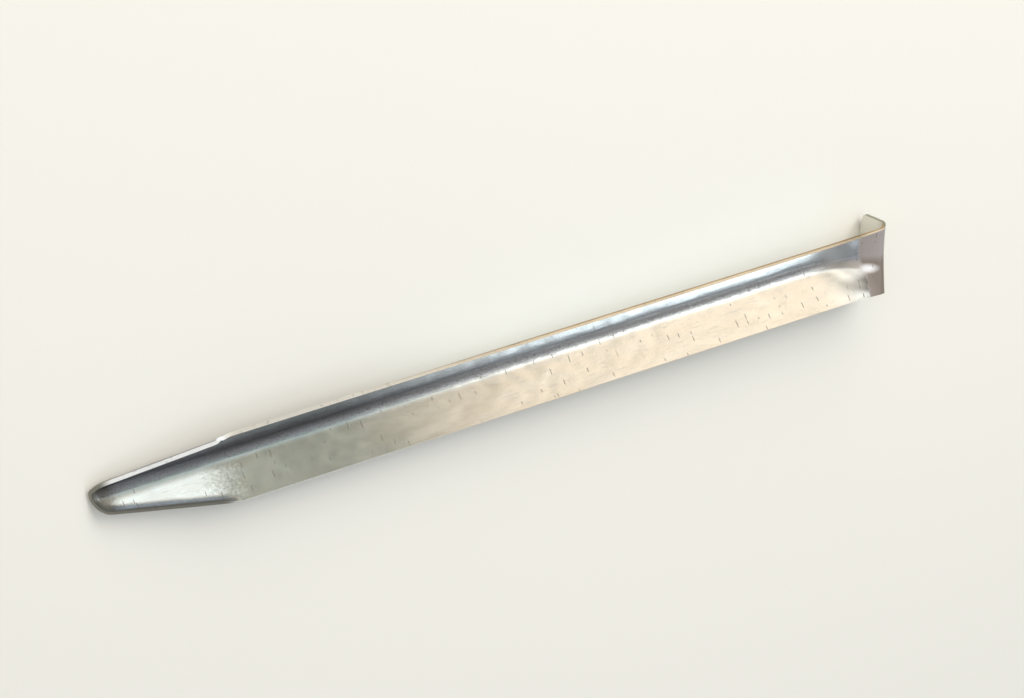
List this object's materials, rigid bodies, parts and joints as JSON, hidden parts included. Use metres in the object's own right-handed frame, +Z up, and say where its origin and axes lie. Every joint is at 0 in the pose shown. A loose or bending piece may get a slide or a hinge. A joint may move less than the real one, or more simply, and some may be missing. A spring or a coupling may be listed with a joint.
{
  "type": "tent stake",
  "caption": "Pressed steel tent stake: a V-section spike with a tapered, rounded point and a folded hook at its head for a guy line.",
  "frame": {"origin": "centre of the bottom of the bounding box, on the surface the stake lies on", "axes": "+X from the nose to the strike face, along the stake; +Z up from the surface it lies on, out of the open trough; the XZ plane halves the V"},
  "size_m": [0.23, 0.0228, 0.0137],
  "materials": {
    "steel": "satin"
  },
  "bodies": {
    "root": {"stake": "steel"}
  },
  "joints": []
}
